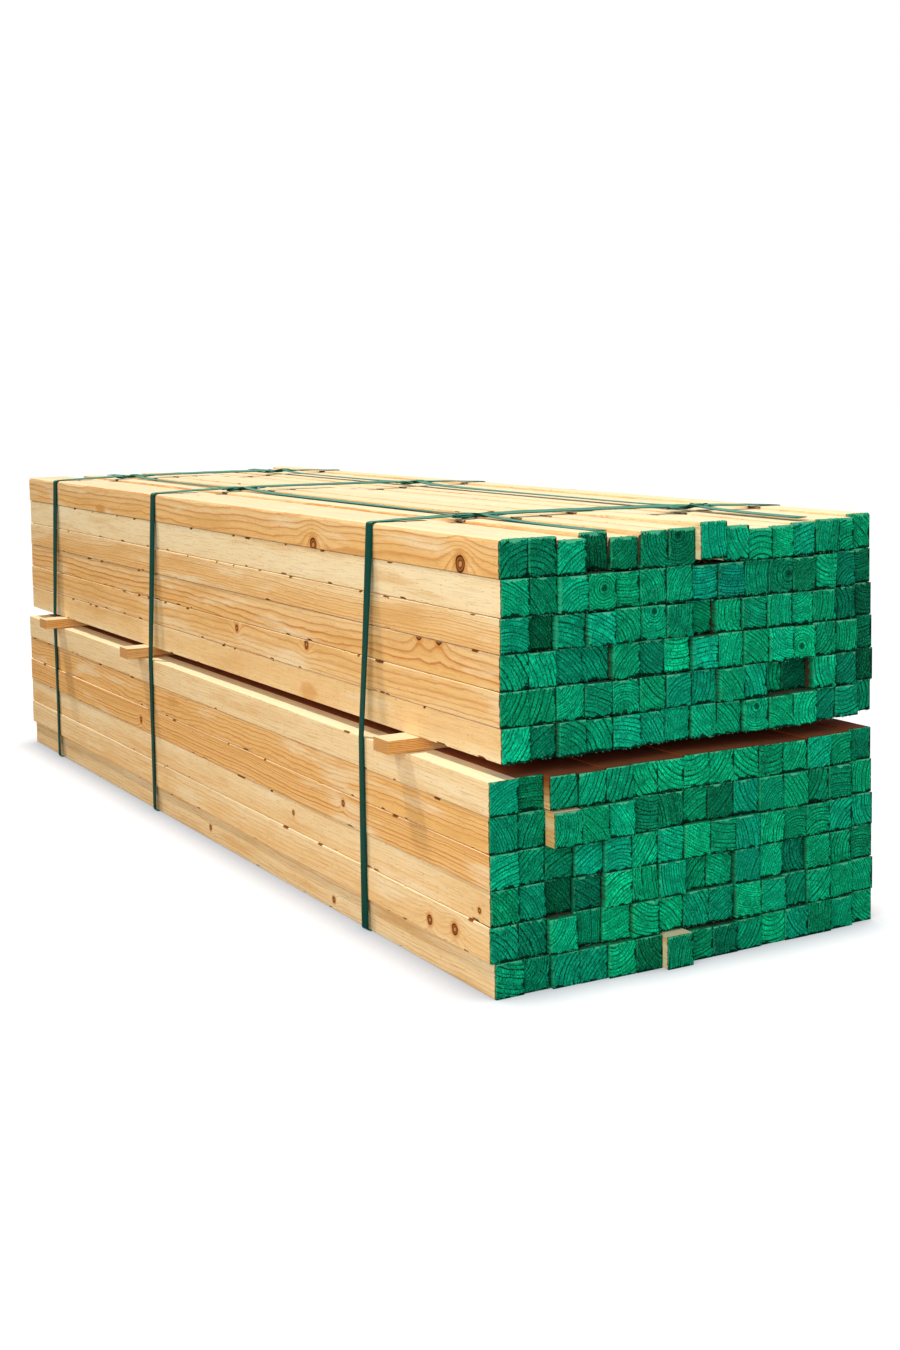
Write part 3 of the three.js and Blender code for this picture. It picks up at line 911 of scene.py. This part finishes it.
def make_stud(row, index, log):
    (pack, number), draw = row, log["draw"]
    top, outer = row == TOP_ROW, index in (0, LAST)
    low, high = (corner.copy() for corner in layers[row][index])
    high.x -= draw.uniform(0, 1.2 if outer else 4.5) * MM
    if not top:
        high.z -= draw.uniform(0.2, 0.9) * MM
    if not outer:
        gap = 0.3 if top else 0.7
        low.y += draw.uniform(0.0, gap) * MM
        high.y -= draw.uniform(0.0, gap) * MM
        high.z -= 2.2 * draw.random() ** 2 * MM
    shape = stretched_cube(low, high)
    near_edge = Vector((0, low.y, high.z))
    if top and index == 0:
        ease_edges(shape, 0, corner=near_edge, others=True)
        ease_edges(shape, 0, WANE, corner=near_edge)
    elif top:
        ease_edges(shape, 0, draw.uniform(*ROUNDED) * MM, corner=Vector((0, high.y, high.z)))
        ease_edges(shape, 0, corner=near_edge)
    else:
        ease_edges(shape, 0, ARRIS if index == 0 else ARRIS / 2)
    chips = chips_of(row, index, low, high, draw)
    for chip in chips:
        chip_edge(shape, chip)
    lift = LIFTED.get(index, 0) * MM if top else 0
    if outer or lift:
        for part in range(1, BOW_CUTS):
            cut(shape, (low.x + (high.x - low.x) * part / BOW_CUTS, 0, 0), (1, 0, 0))
    if row != BOTTOM_ROW:
        add_slivers(shape, low, high, draw)
    if top:
        add_slivers(shape, low, high, draw, standing=True)
    stud = wood_object(f"stud_{index}", shape, stud_values(row, index, low, high, log, chips), pine)
    back = SET_BACK[pack][number - 1] * MM * (1 - index / LAST)
    starts = [draw.uniform(0, 2 * math.pi) for _ in BOW_WAVES]
    for vert in stud.data.vertices:
        slow, quick = (math.sin(vert.co.x * wave + start) for wave, start in zip(BOW_WAVES, starts))
        bow = BOW * (1.5 + (slow + 0.5 * quick)) / 2 if outer else 0
        vert.co.y += back + (bow if index == 0 else -bow)
        vert.co.z += lift * max(0.0, 1 - (high.x - vert.co.x) / LIFTED_LENGTH) ** 2
    stud.data.transform(pack_turn(pack).to_4x4())
    return stud


def lay_row(pack, number):
    parts = []
    for group in planks(layers[pack, number]):
        for studs in [group] if group[0] in CHOSEN[pack, number] else [[index] for index in group]:
            log = choose_log((pack, number), studs)
            parts += [make_stud((pack, number), index, log) for index in studs]
    row = join(f"{pack}_studs_{number}", parts)
    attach(row, "root")
    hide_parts(f"{pack}_row_{number}")
    return row


rows = [lay_row(*row) for row in ROWS]
print(sum(len(row.data.polygons) for row in rows), "faces in", len(rows), "layers")

# %% [markdown]
# ## Spacer sticks
#
# Three sawn sticks carry the upper pack. They stick out in front, so their end grain shows. They are made
# as a stud is, with the grain running the other way, and their own material keeps the two finishes apart.

# %% Lay the spacer sticks
spacer_pine = sawn_pine("sawn spacer pine", end_axis=1)


def make_spacer(number):
    low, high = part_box(f"spacer_{number}")
    low, high = Vector(low), Vector(high)
    draw = random.Random(f"spacer {number}")
    shape = stretched_cube(low, high)
    ease_edges(shape, 1, 0.8 * MM)
    pith = (low.x + draw.uniform(-40, 90) * MM, low.z - draw.uniform(20, 60) * MM)
    along, ring = draw.uniform(0, 40000), draw.uniform(2.5, 4)
    values = {
        LOG_PLACE: lambda p: ((p.y - low.y) / MM + along, (p.x - pith[0]) / MM, (p.z - pith[1]) / MM),
        LOOK: lambda p: (0.75, 1.3, ring),
        PAINT: lambda p: (0.0, 0.0, 0.0),
        STATE: lambda p: (0.15, 0.0, 0.0),
        **dict.fromkeys((STUD_PLACE, STAIN, *KNOTS), lambda p: FAR_AWAY),
    }
    stick = wood_object(f"spacer_stick_{number}", shape, values, spacer_pine)
    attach(stick, "root")
    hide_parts(f"spacer_{number}")
    return stick


spacers = [make_spacer(number) for number in (1, 2, 3)]
print(len(spacers), "spacer sticks")

# %% [markdown]
# ## Polyester strapping
#
# Strapping is extruded polyester, stretched until it is strong along its length and embossed with small
# diamonds so that it grips. It has worn dull, it is a deep green where it hangs upright, and where it
# faces up it is painted paler, a painted highlight. An attribute gives the material millimetres along
# and across the strap. The diamonds are three millimetres wide, coarser than real ones, which would not
# show.

# %% Strapping material
STRAP_PLACE = "strap_place"
STRAP_GREEN = "#064136"
STRAP_WORN = "#145c4c"
STRAP_PAINTED_HIGHLIGHT = "#4c957f"
DIAMOND = 3.0  # millimetres


def polyester_strapping():
    material, add = emptied(bpy.data.materials.new("embossed polyester strapping"))
    place = add("Attribute", attribute_name=STRAP_PLACE).outputs["Vector"]
    streaks = fibre_noise(add, place, (90, 1.6, 1.0), 3.0)
    scuffs = fibre_noise(add, place, (9, 4, 1.0), 4.0)
    upward = add("SeparateXYZ", add("NewGeometry").outputs["Normal"]).outputs[2]
    colour = coated(
        add, STRAP_GREEN,
        (STRAP_WORN, streaks, 0.5, 0.8, 0.6),
        (STRAP_WORN, scuffs, 0.58, 0.72, 0.5),
        # painted highlight: the strap is paler where it faces up
        (STRAP_PAINTED_HIGHLIGHT, upward, 0.3, 0.95, 0.9),
    )
    turned = add("VectorRotate", {"Vector": place, "Angle": math.pi / 4}, rotation_type="Z_AXIS")
    waves = add("VectorMath", turned, [2 * math.pi / DIAMOND] * 3, operation="MULTIPLY")
    along, across, _ = add("SeparateXYZ", add("VectorMath", waves, operation="SINE")).outputs
    diamonds = add("Math", along, across, operation="MULTIPLY")
    add("OutputMaterial", add("BsdfPrincipled", {
        "Base Color": colour,
        "Roughness": add("MapRange", scuffs, 0.3, 0.7, 0.3, 0.5),
        "IOR": 1.57,
        "Specular IOR Level": 0.03,
        "Normal": add("Bump", {"Strength": 0.5, "Distance": 0.25 * MM, "Height": diamonds}),
    }))
    return material


strapping = polyester_strapping()
print("diamonds are", DIAMOND, "mm wide")

# %% [markdown]
# A strap is a flat grid whose columns are laid one by one along a path, and Solidify gives it its
# thickness. Each station on the path has a middle, and a direction for the width.

# %% A ribbon along a path
STRAP_WIDTH = 19 * MM
STRAP_THICKNESS = 1 * MM
STRIPS = 4
UPPER_TOP = 621.6
STRAP_HIGHEST = (UPPER_TOP + 8.6) * MM
STRAP_LOWEST = 0.6 * MM  # under the bundle
TIE_LOWEST = (UPPER_TOP + 0.8) * MM


def ribbon(name, middles, sides, lowest, width=STRAP_WIDTH):
    """A strap through the middles, whose width runs along the sides. It stays above lowest."""
    shape = bmesh.new()
    steps = len(middles) - 1
    bmesh.ops.create_grid(shape, x_segments=steps, y_segments=STRIPS, size=0.5)
    run = [0.0]
    for before, after in zip(middles, middles[1:]):
        run.append(run[-1] + (after - before).length / MM)
    places = []
    for vert in shape.verts:
        station, across = round((vert.co.x + 0.5) * steps), vert.co.y * width
        places.append((run[station], across / MM, 0.0))
        vert.co = middles[station] + sides[station] * across
        vert.co.z = min(max(vert.co.z, lowest), STRAP_HIGHEST)
    data = mesh_from(name, shape)
    write_attribute(data, STRAP_PLACE, places)
    data.materials.append(strapping)
    data.shade_smooth()
    return put_in_scene(name, data)


def thicken(strap):
    thickness = strap.modifiers.new("thickness", "SOLIDIFY")
    thickness.thickness = STRAP_THICKNESS
    thickness.offset = 0
    return strap


print("strap", STRAP_WIDTH / MM, "by", STRAP_THICKNESS / MM, "mm")

# %% [markdown]
# ## Straps round both packs
#
# Each strap bears only on the corners of its outline: the two top edges, the front edge of the lower pack,
# which stands out, and the underside. Between them it runs straight and stands clear of rows that sit
# back. The ties lift it off the top into a low arch. A strap is wound a little askew, so its back run
# lies nearer the painted ends.

# %% Pull the straps round
LOWER_TOP = 298.5
UPPER_BOTTOM = 319.1
CLEARANCE = 0.8  # from the wood to the middle of the strap
CORNER_RADIUS = 4.0
CORNER_STEPS = 4
HOOP_STEP = 22  # millimetres between stations
TIES = (178.0, PACK_WIDTH - 146.0)  # where the ties cross, in millimetres from the front face
GATHERED = 0.5  # of a strap's width is lost where it is knotted
GATHERED_REACH = 30  # millimetres


def lower_front(x):
    """How far in front of the upper pack the lower one stands, at x millimetres along."""
    return -21 + (x - 4) * math.tan(LOWER_TURN)


def rounded(corners):
    """A closed outline in Y and Z with its corners rounded, as points."""
    points = []
    for index, corner in enumerate(corners):
        into = (corner - corners[index - 1]).normalized()
        out = (corners[(index + 1) % len(corners)] - corner).normalized()
        start, end = corner - into * CORNER_RADIUS, corner + out * CORNER_RADIUS
        for step in range(CORNER_STEPS + 1):
            t = step / CORNER_STEPS
            points.append(start * (1 - t) ** 2 + corner * 2 * t * (1 - t) + end * t**2)
    return points


def hoop_height(y, lift):
    """How far a strap is lifted off the top, in millimetres, y millimetres from the front."""
    return lift * max(0.0, 1 - abs(2 * y / PACK_WIDTH - 1) ** 2.6)


def gathered(distance):
    """The share of its width that a strap keeps this many millimetres from a knot."""
    return 1 - GATHERED * math.exp(-(distance / GATHERED_REACH) ** 2)


def make_hoop(number, place, skew, lift):
    front = lower_front(place) - CLEARANCE
    back = lower_front(place + skew) + PACK_WIDTH + CLEARANCE
    upper_back, top = PACK_WIDTH + CLEARANCE, UPPER_TOP + CLEARANCE
    outline = rounded([Vector((0, y, z)) for y, z in (
        (-CLEARANCE, top), (front, LOWER_TOP), (front, CLEARANCE),
        (back, CLEARANCE), (upper_back, UPPER_BOTTOM), (upper_back, top),
    )])
    draw = random.Random(f"hoop {number}")
    sway = [draw.uniform(0, 2 * math.pi) for _ in range(3)]
    middles, sides = [], []
    for index, point in enumerate(outline):
        after = outline[(index + 1) % len(outline)]
        pieces = max(1, round((after - point).length / HOOP_STEP))
        for piece in range(pieces):
            p = point.lerp(after, piece / pieces)
            wave = 1.1 * math.sin(p.z / 90 + sway[0]) + 0.8 * math.sin(p.y / 70 + sway[1])
            x = place + skew * (p.y / PACK_WIDTH) + wave * 0.8
            if p.z > UPPER_TOP:
                up = hoop_height(p.y, lift) + (0.5 * math.sin(p.y / 21 + sway[2]) ** 2)
                side = Vector((1, 0, 0.02 * math.sin(p.y / 60 + sway[2]) - 0.17 * hoop_height(p.y, 1.0)))
                width = min(gathered(p.y - tie) for tie in TIES)
            else:
                up, width = 0, 1
                side = Vector((1, 0.10 * math.sin(p.z / 130 + sway[2]) * (p.y < PACK_WIDTH / 2), 0))
            middles.append((PACK_CORNER + Vector((x, p.y, p.z + up))) * MM)
            sides.append(side.normalized() * width)
    hoop = thicken(ribbon(f"hoop_strap_{number}", middles + middles[:1], sides + sides[:1], STRAP_LOWEST))
    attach(hoop, "root")
    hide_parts(f"cross_strap_{number}")
    return hoop


hoops = [make_hoop(number, *hoop) for number, hoop in enumerate(HOOPS, 1)]
print("hoop 1 has", len(hoops[0].data.vertices), "corners")

# %% [markdown]
# ## Ties along the top
#
# Two straps run along the top. Each is taken round every hoop that it meets and pulled into a flat,
# crumpled knot, where both straps are gathered to half their width. A knot is four folded loops of strap
# that lie over one another, with two cut ends, and it is pressed flat.

# %% Tie the straps along the top
TIE_TURN = math.radians(-0.3)
TIE_INSET = 15.0
TIE_STEP = 30  # millimetres between stations
TIE_REST = 0.9  # millimetres above the wood, away from the hoops
TIE_SETTLES = 60  # millimetres from a hoop
STUD_LENGTH = 2100.0
UP = Vector((0, 0, 1))
KNOT_REACH = 38.0
KNOT_SPREAD = 15.0
KNOT_FORWARD = 9.0  # its middle lies in front of the crossing
KNOT_LOOPS = 4
LOOP_STEPS = 40
CUT_END_STEPS = 8


def loop_path(middle, reach, spread, height, phase):
    """A flat figure of eight about middle, in metres, with the direction of its width."""
    points, sides = [], []
    for step in range(LOOP_STEPS + 1):
        t = 2 * math.pi * step / LOOP_STEPS + phase
        points.append(middle + Vector((
            spread * math.sin(2 * t) + 2 * math.sin(3 * t + phase),
            reach * math.cos(t) - KNOT_FORWARD,
            height + math.sin(3 * t + phase),
        )) * MM)
    for index in range(LOOP_STEPS + 1):
        ahead, behind = points[min(index + 1, LOOP_STEPS)], points[max(index - 1, 0)]
        flat = (ahead - behind).cross(UP).normalized()
        lean = 0.5 * math.sin(2.7 * index / LOOP_STEPS * math.pi + phase)
        sides.append(flat * math.cos(lean) + UP * math.sin(lean))
    return points, sides


def cut_end(middle, heading, length, height):
    """A short end of strap that leaves the knot and curls up a little."""
    way = Vector((math.cos(heading), math.sin(heading), 0))
    points = []
    for step in range(CUT_END_STEPS + 1):
        t = step / CUT_END_STEPS
        rise = Vector((0, 0, height - 2.5 * t**0.5 + 3 * t**3))
        points.append(middle + (way * length * t + rise) * MM)
    return points, [way.cross(UP)] * len(points)


def make_knot(name, middle, draw):
    parts = []
    for turn in range(KNOT_LOOPS):
        path = loop_path(middle, KNOT_REACH * draw.uniform(0.55, 1), KNOT_SPREAD * draw.uniform(0.4, 1),
                         2.8 + 1.3 * turn, draw.uniform(0, 6.28))
        parts.append(ribbon(f"{name}_loop_{turn}", *path, TIE_LOWEST, draw.uniform(4.5, 7) * MM))
    for heading in (draw.uniform(1.0, 1.9), draw.uniform(-2.2, -1.3)):
        path = cut_end(middle, heading, draw.uniform(38, 50), 4.5)
        parts.append(ribbon(f"{name}_end_{heading:.1f}", *path, TIE_LOWEST, 9 * MM))
    return parts


def over_top(along, inset, height=0.0):
    """A place on or over the tie that crosses the top inset millimetres from the front, in metres."""
    y = inset + (along + STUD_LENGTH / 2) * math.tan(TIE_TURN)
    return (PACK_CORNER + Vector((along, y, UPPER_TOP + height))) * MM


def make_tie(number, inset):
    draw = random.Random(f"tie {number}")
    crossings = [(place + skew * inset / PACK_WIDTH, hoop_height(inset, lift) + 2.1)
                 for place, skew, lift in HOOPS]
    stops = [(-TIE_INSET, 1.2), *crossings, (-STUD_LENGTH + TIE_INSET, 1.2)]
    middles, sides = [], []
    for (x, high), (next_x, next_high) in zip(stops, stops[1:]):
        steps = max(4, round((x - next_x) / TIE_STEP))
        for step in range(steps):
            along = x + (next_x - x) * (step / steps)
            height = (TIE_REST + (high - TIE_REST) * math.exp((along - x) / TIE_SETTLES)
                      + (next_high - TIE_REST) * math.exp((next_x - along) / TIE_SETTLES))
            middles.append(over_top(along, inset, height))
            lean = 0.06 * math.sin(along / 170 + number)
            width = min(gathered(along - crossing) for crossing, _ in crossings)
            sides.append(Vector((-math.sin(TIE_TURN), 1, lean)).normalized() * width)
    parts = [ribbon(f"tie_{number}", middles, sides, TIE_LOWEST)]
    for index, (along, _) in enumerate(crossings):
        parts += make_knot(f"knot_{number}_{index}", over_top(along, inset), draw)
    tie = thicken(join(f"knotted_strap_{number}", parts))
    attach(tie, "root")
    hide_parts(f"tie_strap_{number}")
    return tie


ties = [make_tie(number, inset) for number, inset in enumerate(TIES, 1)]
print("tie 1 has", len(ties[0].data.vertices), "corners")
